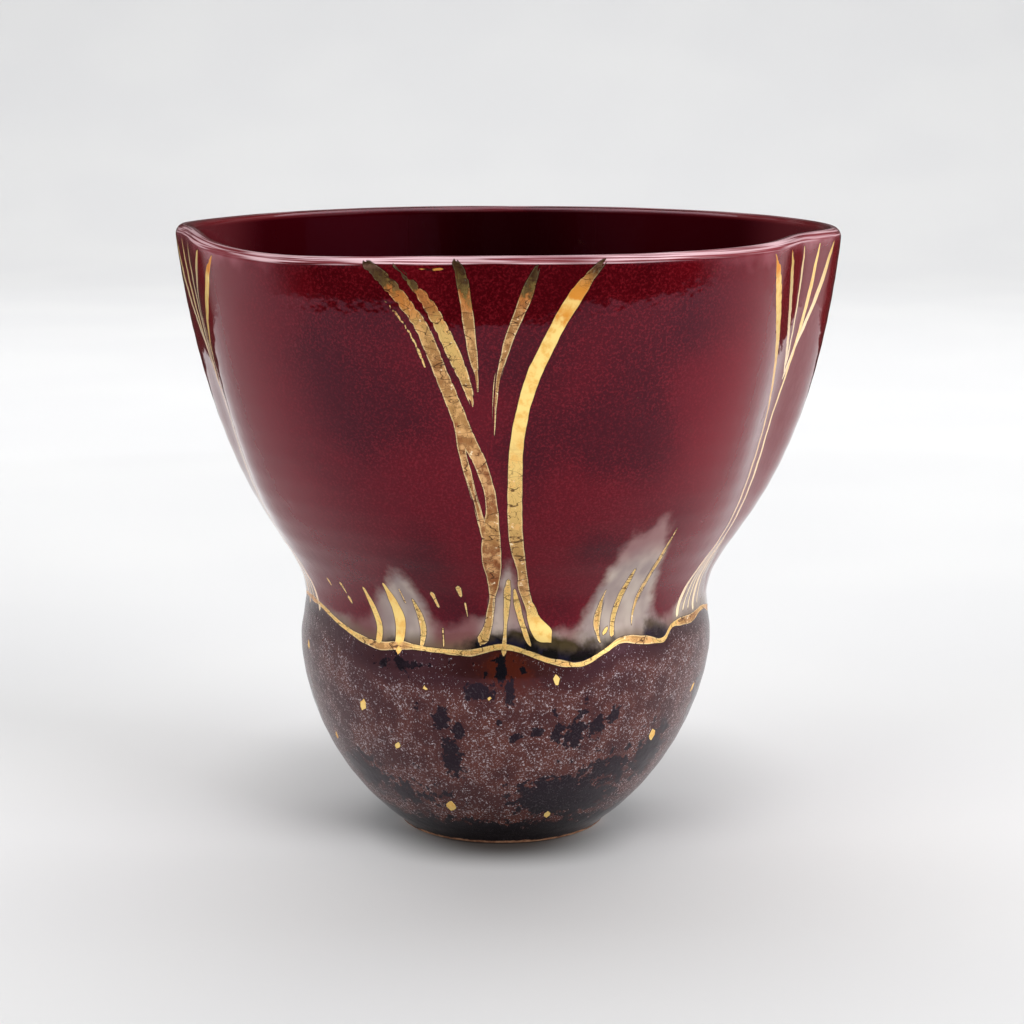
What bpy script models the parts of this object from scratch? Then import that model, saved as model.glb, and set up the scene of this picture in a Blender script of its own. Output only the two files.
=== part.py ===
"""Tea bowl: one thrown ceramic body, a round bulb below and a flared cup above it.

The wall is turned as one closed section, outside and inside, and spun about the Z axis. The
flared cup is then pressed in along five upright creases, which leave five rounded lobes.
Azimuths are in degrees, 0 at the front (-Y) and positive towards +X. Lengths are in metres.
"""

import math

import bmesh
import bpy

# Heights above the table
HEIGHT = 0.0880
NECK_HEIGHT = 0.0350
BULB_HEIGHT = 0.0282
FLOOR_THICKNESS = 0.0050
FOOT_EDGE = 0.0005

# Radii of the outside
RIM_RADIUS = 0.0487
NECK_RADIUS = 0.0297
BULB_RADIUS = 0.03045
FOOT_RADIUS = 0.0144

# Wall
WALL = 0.0032

# Roundness of the bulb, outside and inside: 2 is an ellipse, more is squarer
BULB_FULLNESS = 1.71
HOLLOW_FULLNESS = 2.4

# Flare of the cup: the pulls are shares of the cup's height, the slopes are sideways over up
NECK_SLOPE = 0.08
NECK_PULL = 0.19
RIM_SLOPE = 0.114
RIM_PULL = 0.78

# The cup stands a little off the foot's centre, towards +X
LEAN = 0.0006

# Five creases: azimuth, depth halfway up and at the rim as a share of the radius, lift of the rim
CREASES = {
    "front": (-3.0, 0.050, 0.010, 0.0000),
    "right": (66.0, 0.075, 0.070, 0.0005),
    "back_right": (143.0, 0.070, 0.030, 0.0002),
    "back_left": (-147.0, 0.070, 0.030, 0.0002),
    "left": (-76.0, 0.070, 0.045, 0.0008),
}
CREASE_WIDTH_NECK = 13.0
CREASE_WIDTH_RIM = 15.0
CREASE_LIFT_WIDTH = 26.0
CREASE_FULL_SHARE = 0.55

# The front left lobe's rim hangs a little lower than the rest
LOW_LOBE_AZIMUTH = -40.0
LOW_LOBE_WIDTH = 22.0
LOW_LOBE_DROP = 0.0008

# Facets
SPIN_STEPS = 64
BULB_RINGS = 12
SHOULDER_RINGS = 3
FLARE_RINGS = 16
LIP_RINGS = 5
HOLLOW_RINGS = 9


def ease(start, end, value):
    """Rises smoothly from 0 at start to 1 at end."""
    share = min(max((value - start) / (end - start), 0.0), 1.0)
    return share * share * (3.0 - 2.0 * share)


def turned_away(azimuth, other):
    """Degrees from one azimuth to another, from -180 to 180."""
    return (azimuth - other + 180.0) % 360.0 - 180.0


def bell(distance, width):
    """A smooth hump, 1 at its centre."""
    return math.exp(-((distance / width) ** 2))


def bulb_radius(height):
    """Outside radius of the bulb, from the table up to its widest."""
    foot_share = 1.0 - (FOOT_RADIUS / BULB_RADIUS) ** 2
    depth = BULB_HEIGHT / foot_share ** (1.0 / BULB_FULLNESS)
    below = (BULB_HEIGHT - height) / depth
    return BULB_RADIUS * math.sqrt(1.0 - below ** BULB_FULLNESS)


def hollow_radius(height):
    """Inside radius of the bulb, from the floor up to its widest."""
    below = (BULB_HEIGHT - height) / (BULB_HEIGHT - FLOOR_THICKNESS)
    return (BULB_RADIUS - WALL) * math.sqrt(max(1.0 - below ** HOLLOW_FULLNESS, 0.0))


def flare_point(share, start, end, end_slope):
    """A point of the cup's outside, on a cubic curve from the neck to the rim."""
    rise = end[1] - start[1]
    neck_pull = NECK_PULL * rise
    rim_pull = RIM_PULL * rise
    points = (
        start,
        (start[0] + NECK_SLOPE * neck_pull, start[1] + neck_pull),
        (end[0] - end_slope * rim_pull, end[1] - rim_pull),
        end,
    )
    rest = 1.0 - share
    weights = (rest ** 3, 3.0 * rest * rest * share, 3.0 * rest * share * share, share ** 3)
    radius = sum(weight * point[0] for weight, point in zip(weights, points))
    height = sum(weight * point[1] for weight, point in zip(weights, points))
    return radius, height


def foot_and_bulb():
    """Outside from the middle of the foot up to the bulb's widest."""
    points = [(0.0, 0.0), (bulb_radius(FOOT_EDGE) - 2.0 * FOOT_EDGE, 0.0)]
    for ring in range(BULB_RINGS):
        turn = ring / (BULB_RINGS - 1)
        height = FOOT_EDGE + (BULB_HEIGHT - FOOT_EDGE) * (1.0 - math.cos(turn * math.pi / 2.0))
        points.append((bulb_radius(height), height))
    return points


def shoulder():
    """Outside between the bulb's widest and the neck."""
    points = []
    for ring in range(1, SHOULDER_RINGS):
        share = ring / SHOULDER_RINGS
        height = BULB_HEIGHT + (NECK_HEIGHT - BULB_HEIGHT) * share
        points.append((BULB_RADIUS + (NECK_RADIUS - BULB_RADIUS) * ease(0.0, 1.0, share), height))
    return points


def flare():
    """Outside from the neck to where the lip starts to round over."""
    lean_back = math.atan(RIM_SLOPE)
    lip_start = (
        RIM_RADIUS - WALL / 2.0 + WALL / 2.0 * math.cos(lean_back),
        HEIGHT - WALL / 2.0 - WALL / 2.0 * math.sin(lean_back),
    )
    neck = (NECK_RADIUS, NECK_HEIGHT)
    return [flare_point(ring / FLARE_RINGS, neck, lip_start, RIM_SLOPE) for ring in range(FLARE_RINGS + 1)]


def lip():
    """Half round over the rim, from the outside to the inside."""
    lean_back = math.atan(RIM_SLOPE)
    points = []
    for ring in range(1, LIP_RINGS):
        angle = -lean_back + math.pi * ring / LIP_RINGS
        points.append((
            RIM_RADIUS - WALL / 2.0 + WALL / 2.0 * math.cos(angle),
            HEIGHT - WALL / 2.0 + WALL / 2.0 * math.sin(angle),
        ))
    return points


def inside_of(points):
    """The same curve moved in by the wall's thickness, square to it, listed from the top down."""
    moved = []
    for index, (radius, height) in enumerate(points):
        before = points[max(index - 1, 0)]
        after = points[min(index + 1, len(points) - 1)]
        run = after[0] - before[0]
        rise = after[1] - before[1]
        length = math.hypot(run, rise)
        moved.append((radius - WALL * rise / length, height + WALL * run / length))
    return moved[::-1]


def hollow():
    """Inside from the bulb's widest down to the middle of the floor."""
    points = []
    for ring in range(HOLLOW_RINGS):
        turn = ring / HOLLOW_RINGS * math.pi / 2.0
        height = BULB_HEIGHT - (BULB_HEIGHT - FLOOR_THICKNESS) * math.sin(turn)
        points.append((hollow_radius(height), height))
    points.append((0.0, FLOOR_THICKNESS))
    return points


def crease_strength(height):
    """How far up its full depth a crease is: none at the neck, all of it about halfway up."""
    share = (height - NECK_HEIGHT) / (HEIGHT - NECK_HEIGHT)
    return ease(-0.05, CREASE_FULL_SHARE, share)


def pressed(point):
    """Moves a point of the spun body for the creases, the low lobe and the lean."""
    azimuth = math.degrees(math.atan2(point.x, -point.y))
    up = min(max((point.z - NECK_HEIGHT) / (HEIGHT - NECK_HEIGHT), 0.0), 1.0)
    width = CREASE_WIDTH_NECK + (CREASE_WIDTH_RIM - CREASE_WIDTH_NECK) * up
    kept = 1.0
    lift = 0.0
    for crease_azimuth, depth, rim_depth, rim_lift in CREASES.values():
        away = turned_away(azimuth, crease_azimuth)
        here = depth + (rim_depth - depth) * ease(0.5, 1.0, up)
        kept -= here * crease_strength(point.z) * bell(away, width)
        lift += rim_lift * bell(away, CREASE_LIFT_WIDTH) * up ** 3
    lift -= LOW_LOBE_DROP * bell(turned_away(azimuth, LOW_LOBE_AZIMUTH), LOW_LOBE_WIDTH) * up ** 3
    point.x = point.x * kept + LEAN * ease(0.0, NECK_HEIGHT, point.z)
    point.y *= kept
    point.z += lift


def glaze(name, colour, roughness):
    """A plain glossy material for the solid."""
    material = bpy.data.materials.new(name)
    material.use_nodes = True
    shader = material.node_tree.nodes["Principled BSDF"]
    shader.inputs["Base Color"].default_value = (*colour, 1.0)
    shader.inputs["Roughness"].default_value = roughness
    shader.inputs["Metallic"].default_value = 0.0
    return material


def bowl():
    """The whole vessel, spun from its section and pressed into lobes."""
    above_bulb = shoulder() + flare()
    section = foot_and_bulb() + above_bulb + lip() + inside_of(above_bulb) + hollow()

    body = bmesh.new()
    ring = [body.verts.new((radius, 0.0, height)) for radius, height in section]
    edges = [body.edges.new(pair) for pair in zip(ring, ring[1:])]
    bmesh.ops.spin(
        body,
        geom=ring + edges,
        cent=(0.0, 0.0, 0.0),
        axis=(0.0, 0.0, 1.0),
        angle=math.tau,
        steps=SPIN_STEPS,
        use_merge=True,
    )
    bmesh.ops.remove_doubles(body, verts=body.verts, dist=1e-6)
    for vertex in body.verts:
        pressed(vertex.co)
    bmesh.ops.recalc_face_normals(body, faces=body.faces)

    mesh = bpy.data.meshes.new("bowl")
    body.to_mesh(mesh)
    body.free()
    mesh.shade_smooth()
    mesh.set_sharp_from_angle(angle=math.radians(50.0))
    mesh.materials.append(glaze("maroon_glaze", (0.12, 0.012, 0.025), 0.2))
    vessel = bpy.data.objects.new("bowl", mesh)
    bpy.context.scene.collection.objects.link(vessel)
    return vessel


def main():
    for thing in list(bpy.data.objects):
        bpy.data.objects.remove(thing, do_unlink=True)
    bowl()


main()
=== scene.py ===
"""A hand-thrown tea bowl: maroon glaze over a dark speckled bulb, painted with gold lustre trees.

Azimuths are in degrees, 0 at the front (-Y) and positive towards +X. The form, the glaze edges
and the paint are worked out in millimetres, and become metres when they go into the mesh.
"""

import math

import bmesh
import bpy
import numpy as np
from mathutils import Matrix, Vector


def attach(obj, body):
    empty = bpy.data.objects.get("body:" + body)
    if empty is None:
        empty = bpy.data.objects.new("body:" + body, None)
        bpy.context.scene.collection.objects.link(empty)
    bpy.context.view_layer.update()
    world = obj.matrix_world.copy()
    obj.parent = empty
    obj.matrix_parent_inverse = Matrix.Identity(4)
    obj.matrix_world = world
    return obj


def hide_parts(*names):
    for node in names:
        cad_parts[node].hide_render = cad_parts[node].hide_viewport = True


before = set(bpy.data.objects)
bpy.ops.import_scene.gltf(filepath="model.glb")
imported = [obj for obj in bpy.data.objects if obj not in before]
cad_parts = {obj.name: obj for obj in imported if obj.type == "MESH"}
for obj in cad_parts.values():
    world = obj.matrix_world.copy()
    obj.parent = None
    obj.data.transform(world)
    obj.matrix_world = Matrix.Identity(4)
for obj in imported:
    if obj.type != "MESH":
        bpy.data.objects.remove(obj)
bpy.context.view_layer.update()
MM = 0.001

# The bowl's sizes, the same as the solid's
HEIGHT = 88.0
NECK_HEIGHT = 35.0
BULB_HEIGHT = 28.2
FLOOR_THICKNESS = 5.0
FOOT_EDGE = 0.5
RIM_RADIUS = 48.7
NECK_RADIUS = 29.7
BULB_RADIUS = 30.45
FOOT_RADIUS = 14.4
WALL = 3.2
BULB_FULLNESS = 1.71
HOLLOW_FULLNESS = 2.4
NECK_SLOPE = 0.08
NECK_PULL = 0.19
RIM_SLOPE = 0.114
RIM_PULL = 0.78
LEAN = 0.6

# Creases: azimuth, depth halfway up and at the rim as a share of the radius, lift of the rim
FRONT, RIGHT, BACK_RIGHT, BACK_LEFT, LEFT = -3.0, 66.0, 143.0, -147.0, -76.0
CREASES = (
    (FRONT, 0.050, 0.010, 0.0),
    (RIGHT, 0.075, 0.070, 0.5),
    (BACK_RIGHT, 0.070, 0.030, 0.2),
    (BACK_LEFT, 0.070, 0.030, 0.2),
    (LEFT, 0.070, 0.045, 0.8),
)
CREASE_WIDTH_NECK = 13.0
CREASE_WIDTH_RIM = 15.0
CREASE_LIFT_WIDTH = 26.0
CREASE_FULL_SHARE = 0.55
LOW_LOBE_AZIMUTH = -40.0
LOW_LOBE_WIDTH = 22.0
LOW_LOBE_DROP = 0.8

# Steps and rings of the fine surface
SPIN_STEPS = 480
FOOT_RINGS = 8
BULB_RINGS = 50
SHOULDER_RINGS = 14
FLARE_RINGS = 82
LIP_RINGS = 14
INSIDE_FLARE_RINGS = 22
INSIDE_SHOULDER_RINGS = 4
HOLLOW_RINGS = 12

# The foot's edge is rounded over this many times its height, in three points
FOOT_ROUND = 2.4
FOOT_ROUND_SHARES = (0.25, 0.5, 0.75)

# The glazes lie this far inside the solid's face, so that their relief stays within the solid
GLAZE_INSET = 0.24

# Rolled edges of the cup's glaze above the seam and of the maroon, each from its start to its end
CUP_GLAZE_ROLL = 0.10
CUP_ROLL_START = -0.5
CUP_ROLL_END = 0.6
MAROON_ROLL = 0.05
MAROON_ROLL_START = -0.6
MAROON_ROLL_END = 0.8

# Throwing rings and the unevenness of a hand-made wall, which fade out down at the foot
RELIEF_FOOT = 1.5
THROWING_RING_PITCH = 3.4
THROWING_RING_DEPTH = 0.02
THROWING_RING_CLIMB = 0.03
HAND_WAVE = 0.025
HAND_WAVE_TURNS = (2, 3, 5, 8)
HAND_WAVE_TILTS = (0.02, 0.12)
HAND_WAVE_SEED = 11

# Bare clay at the foot, the depth under the lip of the painted sheen there, and the grain of the finishes
CLAY_FOOT_HEIGHT = 1.1
LIP_PAINTED_SHEEN_DEPTH = 3.6
LIP_THREADS = 10.0
CRYSTALS_PER_MM = 3.4

# Gloss
GLAZE_IOR = 1.5
GLAZE_SHEEN_TINT = (0.62, 0.34, 0.50, 1.0)
CUP_ROUGHNESS = 0.06
INSIDE_ROUGHNESS = 0.03
GOLD_METAL = 0.5

# Depth of the bulb's crust and of the cup glaze's unevenness
CRUST_DEPTH = 0.075
CUP_UNEVENNESS = 0.028

# The gold seam between the two glazes: azimuth and height of its middle line
SEAM = (
    (-90, 34.6), (-74, 35.4), (-63, 35.0), (-53, 33.6), (-44, 32.4), (-36, 31.7), (-28, 32.2),
    (-20, 32.0), (-10, 31.9), (-1, 32.8), (6, 31.9), (12, 30.7), (20, 30.0), (27, 31.4), (33, 32.7),
    (41, 32.1), (48, 31.6), (53, 33.3), (63, 33.2), (74, 33.7), (92, 32.0), (112, 33.4), (130, 31.4),
    (150, 32.8), (170, 31.2), (190, 32.6), (210, 31.4), (230, 33.6), (250, 32.4),
)
SEAM_HALF_WIDTH = 0.48
EDGE_WOBBLE = 0.26

# Where the maroon glaze draws back from the seam: azimuth, how far up, and half the gap's width
MAROON_EDGE = 34.7
MAROON_GAPS = (
    (LEFT, 8.0, 8.0), (-35.0, 4.0, 4.5), (-26.5, 8.6, 5.5), (-9.0, 2.0, 6.0), (0.5, 10.5, 3.8),
    (24.0, 3.5, 4.0), (27.5, 9.5, 3.5), (34.0, 16.0, 5.0), (40.0, 4.0, 4.0), (RIGHT, 10.0, 8.0),
    (103.0, 7.0, 5.0), (112.0, 4.0, 4.0), (BACK_RIGHT, 9.0, 5.0), (176.0, 9.0, 5.0),
    (183.0, 5.0, 4.0), (BACK_LEFT, 8.0, 5.0), (-114.0, 8.0, 5.0), (-106.0, 4.0, 4.0),
)

# Dark glass gathered above the seam: azimuth, half width, height above the seam, strength
POOLS = (
    (12.0, 15.0, 3.3, 1.1), (-5.0, 8.0, 1.7, 0.8), (45.0, 5.5, 2.8, 0.8), (-31.0, 8.0, 1.0, 0.45),
    (27.0, 5.0, 2.4, 0.5), (95.0, 12.0, 2.2, 0.9), (160.0, 14.0, 2.4, 0.9), (-160.0, 10.0, 2.0, 0.7),
    (-120.0, 12.0, 2.2, 0.9),
)

# Mauve places in the milky glaze: azimuth, half width, strength
MAUVES = (
    (-13.0, 8.0, 0.95), (-42.0, 8.0, 0.8), (4.0, 6.0, 0.45), (17.0, 5.0, 0.5), (50.0, 5.0, 0.5),
    (90.0, 10.0, 0.7), (150.0, 12.0, 0.6), (-155.0, 12.0, 0.7), (-100.0, 8.0, 0.6),
)

# The rusty bloom in the bulb's glaze, under the seam
RUST_AZIMUTH = 1.0
RUST_WIDTH = 10.0
RUST_BELOW = 3.5
RUST_TALL = 3.6

# The burnt band under the seam reaches furthest down here
BURN_AZIMUTH = -16.0
BURN_WIDTH = 36.0

# Black patches in the bulb's glaze: azimuth, height, half width in degrees, half height, strength
PATCHES = (
    (-15.5, 16.0, 3.2, 3.6, 1.0), (-17.5, 22.0, 3.0, 2.0, 1.0), (-12.5, 20.6, 2.2, 1.5, 0.9),
    (-1.0, 29.6, 1.3, 1.8, 1.0), (1.2, 26.4, 1.3, 2.2, 1.0), (-6.5, 26.4, 3.6, 1.3, 1.2),
    (-3.4, 25.2, 1.2, 0.8, 0.8), (-5.0, 29.0, 0.9, 0.8, 0.9), (4.5, 29.6, 1.0, 0.7, 0.8),
    (-1.4, 22.0, 1.0, 0.6, 0.8), (3.0, 19.6, 1.6, 0.8, 0.9), (9.5, 20.4, 1.8, 0.8, 0.8),
    (15.0, 20.0, 2.0, 1.8, 1.0), (20.0, 20.0, 3.0, 2.1, 1.0), (26.5, 20.8, 3.0, 1.9, 1.0),
    (22.5, 24.6, 1.5, 0.7, 0.9), (22.5, 23.0, 1.3, 0.8, 0.9), (31.5, 22.0, 2.6, 1.2, 0.9),
    (13.5, 23.4, 1.0, 1.0, 0.8), (-24.0, 24.0, 1.6, 1.0, 0.7), (20.0, 9.4, 17.0, 3.6, 1.1),
    (36.0, 13.0, 9.0, 3.4, 0.8), (-24.0, 9.0, 9.0, 1.8, 0.55), (-30.0, 29.6, 9.0, 1.0, 0.7),
    (52.0, 14.0, 8.0, 5.0, 0.9), (-52.0, 11.0, 12.0, 4.0, 0.8), (72.0, 20.0, 5.0, 4.0, 0.7),
    (30.0, 8.0, 15.0, 3.6, 1.0), (-36.0, 9.0, 9.0, 3.0, 0.7),
)

# Patches at the back, drawn at random between these
BACK_PATCHES = 26
BACK_PATCH_SEED = 5
BACK_PATCH_AZIMUTHS = (80.0, 290.0)
BACK_PATCH_HEIGHTS = (6.0, 27.0)
BACK_PATCH_HALF_WIDTHS = (1.5, 6.0)
BACK_PATCH_HALF_HEIGHTS = (0.8, 2.8)
BACK_PATCH_STRENGTH = 0.9

# The bulb darkens towards the foot between these heights, partly dark glaze and partly painted shade
FOOT_SHADE_TOP = 7.5
FOOT_SHADE_FULL = 1.5

# Painted strokes: azimuth, height and width along each, from the top down, after its tone there
FRONT_TREE = (
    ((0.0, 0.2, 0.5, 0.3, 0.1, 0.2, 0.1, 0.0, 0.0, 0.2, 0.0, 0.0, 0.1, 0.3, 0.5),
     ((-21.6, 87, 1.2), (-18.6, 84.8, 1.9), (-15.5, 81.6, 1.8), (-13, 78.2, 1.8), (-10.9, 73.2, 1.8),
      (-8.6, 67.8, 1.9), (-6.6, 63.2, 1.9), (-4.2, 59.2, 1.6), (-2.7, 54.2, 1.5), (-2.9, 50.6, 2.2),
      (-3.1, 46.5, 2.6), (-2.9, 43, 1.8), (-3.3, 40, 0.9), (-4.6, 35.8, 1.1), (-6.2, 33.6, 1.5))),
    (0.05, ((-8.4, 66.4, 1.1), (-8.0, 63.6, 1.1), (-7.7, 61.2, 1.0), (-6.6, 57.2, 0.95), (-5.3, 53.2, 0.9),
            (-4.4, 50, 1.0), (-4, 48, 0.5))),
    ((0.0, 0.1, 0.1, 0.5, 0.55, 0.4, 0.25, 0.25),
     ((-17, 86.8, 0.5), (-14.6, 84.6, 0.9), (-12.4, 82.2, 1.5), (-10.3, 79, 1.7), (-8.9, 76.2, 1.8),
      (-7.4, 73, 1.6), (-6.3, 70.4, 1.2), (-5.7, 68, 0.5))),
    (0.15, ((-7.6, 87.2, 0.8), (-6.7, 85.4, 1.5), (-6.1, 81.8, 1.5), (-5.6, 78.2, 1.4), (-5.3, 75.2, 1.2),
            (-4.9, 72.4, 0.8), (-4.7, 69.4, 0.2))),
    (0.1, ((4.9, 86.4, 0.7), (3.7, 83.8, 1.4), (2.4, 80.8, 1.4), (1, 78, 1.2), (-0.1, 75, 1.0),
           (-1.2, 72, 0.8), (-1.8, 68.4, 0.6), (-2.1, 63.4, 0.15))),
    ((0.0, 0.5, 1.0, 1.0, 1.0, 1.0, 1.0, 0.85, 0.65, 0.5, 0.3, 0.2, 0.1, 0.5, 0.9, 1.0, 1.0, 1.0),
     ((15.2, 87.2, 0.6), (13, 85.2, 1.3), (11, 82.8, 1.9), (8.4, 79, 1.8), (6.4, 75.4, 1.8),
      (4.6, 72, 1.8), (3, 67.4, 1.7), (2, 62, 1.8), (1.8, 57, 1.9), (1.9, 52, 1.9), (2.5, 47.6, 1.8),
      (3.7, 44.2, 1.2), (4.4, 41.4, 1.5), (6.0, 38.6, 1.1), (7.4, 36.6, 1.8), (9.2, 35, 2.5),
      (10.6, 34.2, 2.3), (11.4, 33.7, 1.2))),
    (0.7, ((5.0, 39.8, 0.9), (6.6, 38.4, 1.0), (8.3, 37.3, 0.25))),
    (0.95, ((-13.2, 86.2, 0.25), (-11.5, 85.9, 0.5), (-9.8, 86.1, 0.45), (-8.4, 85.7, 0.25))),
    (0.65, ((-19.4, 82.6, 0.25), (-17.5, 80.8, 0.35), (-15.7, 78.6, 0.32), (-14.2, 76.0, 0.35),
            (-13.0, 73, 0.2))),
    (0.6, ((0.7, 42.6, 0.5), (0.4, 40.4, 0.9), (0.2, 38, 0.8), (-0.1, 35.4, 0.5), (-0.5, 31.8, 0.55))),
    (0.7, ((2.2, 41.2, 0.3), (2.9, 39, 0.8), (4.1, 36.4, 0.8), (5.8, 33.8, 0.6), (6.6, 32.9, 0.3))),
)
FRONT_GRASS = (
    (0.8, ((-39.2, 39.8, 0.4), (-38, 37, 0.9), (-36.4, 34.4, 1.0), (-36.3, 32.2, 1.1))),
    (0.9, ((-31.8, 41, 0.3), (-30.6, 38.2, 1.3), (-29.4, 35.2, 1.6), (-29.8, 31.4, 1.1))),
    (0.6, ((-24.6, 39, 0.3), (-23.2, 36.4, 0.8), (-22.5, 34.4, 0.9), (-22.8, 32.4, 0.6))),
    (0.2, ((-27.6, 40.4, 0.3), (-26.9, 38.4, 0.35))),
    (0.4, ((26, 40.4, 0.2), (25.5, 38, 0.8), (25, 35.4, 1.0), (26, 32.8, 0.4))),
    (0.6, ((32, 43.4, 0.25), (31.2, 40.4, 0.9), (30.2, 37, 0.8), (29.6, 33.6, 0.7))),
    (0.4, ((38.4, 49.4, 0.2), (37.9, 45, 0.7), (37.3, 41, 0.7), (36.6, 37.6, 0.6), (36.2, 34.6, 0.25))),
    (0.9, ((28.2, 34.7, 0.5), (27.2, 33.9, 0.6))),
)
FLECKS = (
    (-18.7, 40.2, -17.6, 38.2, 0.7), (-11.6, 41.4, -11.3, 40, 0.7), (-53.2, 40, -52.8, 39, 0.5),
    (-47.8, 39.8, -47, 38.4, 0.5), (-46.6, 37.8, -46, 37, 0.6), (-10.4, 39, -10, 36.8, 0.2),
    (-17, 35, -16.6, 32.6, 0.25), (22.3, 68.8, 22.4, 68.6, 0.3),
)
DOTS = (
    (-42.5, 22.5, 1.4), (-21.5, 26.5, 0.7), (-32.5, 17.0, 0.9), (-19.0, 7.4, 1.5), (-70.5, 28.5, 1.1),
    (-63.0, 15.5, 1.0), (-4.0, 25.5, 0.6), (13.5, 28.0, 1.2), (67.0, 22.5, 1.2), (49.5, 17.2, 1.5),
    (18.0, 5.8, 1.1), (104.0, 24.0, 1.2), (128.0, 15.0, 1.0), (155.0, 26.0, 1.4), (175.0, 10.0, 1.0),
    (-165.0, 21.0, 1.3), (-138.0, 13.0, 1.0), (-116.0, 25.0, 1.4), (-95.0, 18.0, 0.9),
)

# Strands of a side tree's trunk: how far each stands off the crease and its root from the crease
STRANDS = ((-3.0, -11.0), (0.8, -1.0))
THIN_ROOTS = ((-7.6, -2.6), (-4.4, -1.2), (2.6, 1.6))

# Side and back trees: which way they face, and their limbs as tip, height of the join, strand,
# tone at the tip and stoutness
# Tones past 1, on the two side trees, give a cream painted sheen
SIDE_TREES = {
    RIGHT: (1.0, (
        (49.0, 62.0, 0, 0.95, 1.30), (73.0, 62.0, 1, 1.10, 0.70), (57.0, 69.0, 1, 1.00, 1.10),
        (65.5, 70.0, 1, 1.20, 0.50), (80.0, 68.0, 1, 1.05, 0.80),
    )),
    LEFT: (-1.0, (
        (-54.5, 64.0, 0, 0.95, 0.95), (-80.0, 62.0, 1, 1.20, 0.90), (-61.0, 75.0, 0, 1.10, 0.80),
        (-72.0, 66.0, 1, 1.20, 1.05), (-88.0, 68.0, 1, 1.10, 1.00),
    )),
    BACK_RIGHT: (1.0, (
        (129.0, 58.0, 0, 0.30, 1.30), (148.0, 60.0, 1, 1.00, 1.10), (137.0, 68.0, 1, 0.60, 1.00),
        (157.0, 70.0, 1, 0.20, 0.90),
    )),
    BACK_LEFT: (-1.0, (
        (-142.0, 64.0, 1, 0.20, 1.20), (-154.0, 58.0, 0, 1.00, 1.20), (-163.0, 66.0, 0, 0.50, 1.00),
        (-132.0, 62.0, 1, 1.00, 0.80),
    )),
}

# Tufts of grass at the sides and back: azimuth, lean of the blades and the blades' heights
TUFTS = ((98.0, -2.5, (41, 43, 39)), (172.0, 2.0, (40, 44, 42)), (-120.0, 2.5, (39, 42, 40)))
BLADE_APART = 5.5
BLADE_FOOT = 33.0

# Every limb: height of its tip, its widths at both ends, and between them, from the tip down, its
# share of the way out from the trunk, its share of the rise, and its width
LIMB_TIP = 86.3
LIMB_TIP_WIDTH = 0.2
LIMB_JOIN_WIDTH = 0.6
LIMB_SHAPE = ((0.87, 0.90, 1.2), (0.75, 0.75, 1.6), (0.50, 0.50, 1.3), (0.17, 0.20, 0.9))

# The trunks' strands part below this height, and the tones of their roots; past 1, as on the two side trees,
# the tone gives a cream painted sheen
TRUNK_FOOT = 46.0
ROOT_TONE = 1.6
BACK_ROOT_TONE = 0.7

# How near a stroke a vertex has to be, in degrees and in millimetres up or down, to be measured
STROKE_REACH = 9.0
STROKE_REACH_UP = 3.0
STROKE_LEAST_WIDTH = 0.15

# How far from a stroke's edge its distances are kept true, and how fast they fall away past that
STROKE_KEPT = 0.5
STROKE_FALL = 4.0
STROKE_APART = 1.0
FAR_ACROSS = 3.0
FAR_HALF = -9.0
PATH_SAMPLES = 10

# Distances from the seam and the maroon's edge are kept up to this, and all the inside has it
FAR_FROM_SEAM = 30.0

# A height far from every stroke, so that none of them shows through on the inside
INSIDE_HEIGHT = -100.0

# The pools are deepest this far above the seam
POOL_MIDDLE = 0.4


def ease(start, end, value):
    """Rises smoothly from 0 at start to 1 at end."""
    share = np.clip((value - start) / (end - start), 0.0, 1.0)
    return share * share * (3.0 - 2.0 * share)


def turned_away(azimuth, other):
    """Degrees from one azimuth to another, from -180 to 180."""
    return (azimuth - other + 180.0) % 360.0 - 180.0


def bell(distance, width):
    """A smooth hump, 1 at its centre."""
    return np.exp(-((distance / width) ** 2))


def unit(vectors):
    """The same vectors, each made one long."""
    return vectors / np.linalg.norm(vectors, axis=1, keepdims=True)


def bulb_radius(height):
    """Outside radius of the bulb, from the table up to its widest."""
    foot_share = 1.0 - (FOOT_RADIUS / BULB_RADIUS) ** 2
    depth = BULB_HEIGHT / foot_share ** (1.0 / BULB_FULLNESS)
    below = (BULB_HEIGHT - height) / depth
    return BULB_RADIUS * math.sqrt(1.0 - below ** BULB_FULLNESS)


def hollow_radius(height):
    """Inside radius of the bulb, from the floor up to its widest."""
    below = (BULB_HEIGHT - height) / (BULB_HEIGHT - FLOOR_THICKNESS)
    return (BULB_RADIUS - WALL) * math.sqrt(max(1.0 - below ** HOLLOW_FULLNESS, 0.0))


def foot():
    """The flat underside, out to a small rounded edge."""
    edge_radius = bulb_radius(FOOT_EDGE)
    flat = edge_radius - FOOT_ROUND * FOOT_EDGE
    points = [(flat * ring / FOOT_RINGS, 0.0) for ring in range(FOOT_RINGS + 1)]
    for turn in FOOT_ROUND_SHARES:
        angle = turn * math.pi / 2.0
        points.append((flat + (edge_radius - flat) * math.sin(angle), FOOT_EDGE * (1.0 - math.cos(angle))))
    return points


def bulb():
    """Outside from the foot's edge to the bulb's widest."""
    points = []
    for ring in range(BULB_RINGS):
        turn = ring / (BULB_RINGS - 1) * math.pi / 2.0
        height = FOOT_EDGE + (BULB_HEIGHT - FOOT_EDGE) * (1.0 - math.cos(turn))
        points.append((bulb_radius(height), height))
    return points


def shoulder(rings):
    """Outside between the bulb's widest and the neck."""
    points = []
    for ring in range(1, rings):
        share = ring / rings
        height = BULB_HEIGHT + (NECK_HEIGHT - BULB_HEIGHT) * share
        points.append((BULB_RADIUS + (NECK_RADIUS - BULB_RADIUS) * ease(0.0, 1.0, share), height))
    return points


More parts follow.
